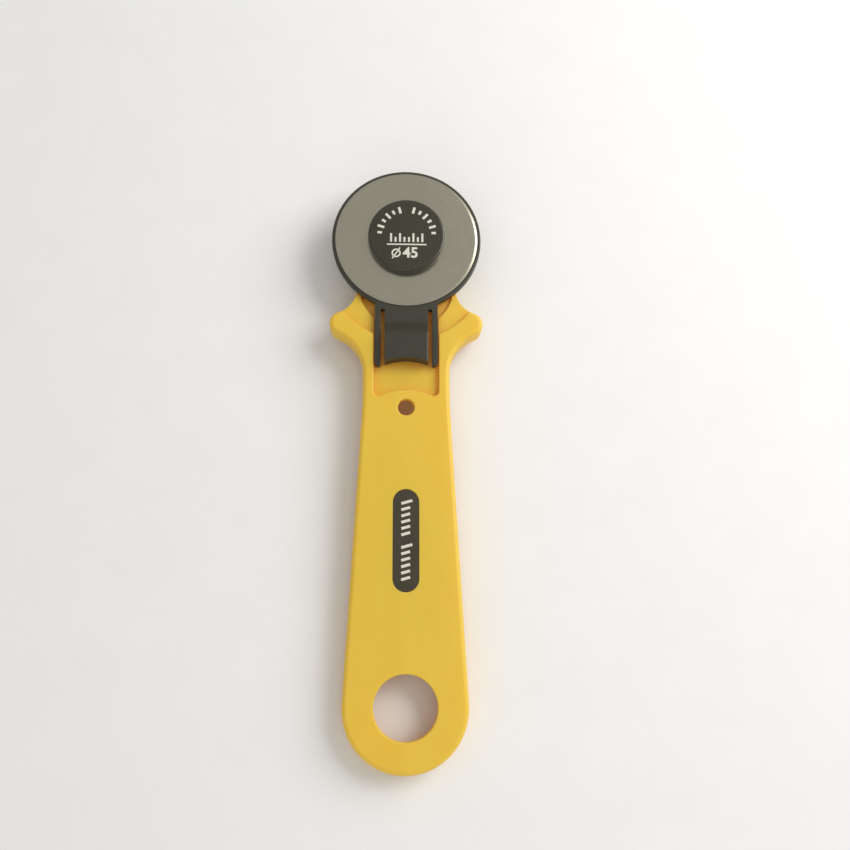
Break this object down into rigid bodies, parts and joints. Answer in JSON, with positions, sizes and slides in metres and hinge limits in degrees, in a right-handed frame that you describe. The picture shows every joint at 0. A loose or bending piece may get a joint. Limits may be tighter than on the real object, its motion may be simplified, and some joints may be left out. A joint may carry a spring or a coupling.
{
  "type": "rotary cutter",
  "caption": "Hand-held rotary cutter: flat open-backed plastic grip with a hanging hole, a turning round steel blade, a thumb-operated sliding guard and a hand nut behind.",
  "frame": {"origin": "under the middle of the object's box, level with the back of the nut's knob", "axes": "+Y along the grip towards the blade, +Z out of the front, blade side; +X to the right seen from the front"},
  "size_m": [0.0478, 0.1836, 0.0159],
  "materials": {
    "yellow_plastic": "satin moulded plastic",
    "label_black": "matte black with pale printed marks",
    "guard_black": "fine-grained black plastic",
    "blade_steel": "ground satin steel with a bright edge",
    "cap_black": "smooth black plastic with pale printed marks",
    "bolt_steel": "plated steel",
    "washer_steel": "spring steel",
    "insert_steel": "plated steel",
    "knob_black": "fine-grained black plastic"
  },
  "bodies": {
    "handle": {"handle": "yellow_plastic", "label_plate": "label_black", "bolt_cap": "cap_black", "axle_bolt": "bolt_steel"},
    "guard": {"blade_guard": "guard_black"},
    "blade": {"blade": "blade_steel"},
    "washer": {"spring_washer": "washer_steel"},
    "nut": {"nut_insert": "insert_steel", "nut_knob": "knob_black"}
  },
  "joints": [
    {"name": "guard_slide", "type": "slide", "parent": "handle", "child": "guard", "axis": [0, -1, 0], "range_m": [0, 0.008]},
    {"name": "blade_spin", "type": "hinge", "parent": "handle", "child": "blade", "pos_m": [0, 0.0682, 0.01275], "axis": [0, 0, 1], "continuous": true},
    {"name": "washer_release", "type": "slide", "parent": "handle", "child": "washer", "axis": [0, 0, -1], "range_m": [0, 0.001]},
    {"name": "nut_turn", "type": "hinge", "parent": "washer", "child": "nut", "pos_m": [0, 0.0682, 0.004], "axis": [0, 0, -1], "range_deg": [0, 360]}
  ],
  "couplings": [
    {"joint": "washer_release", "follows": "nut_turn", "m_per_rad": 0.00015915}
  ]
}
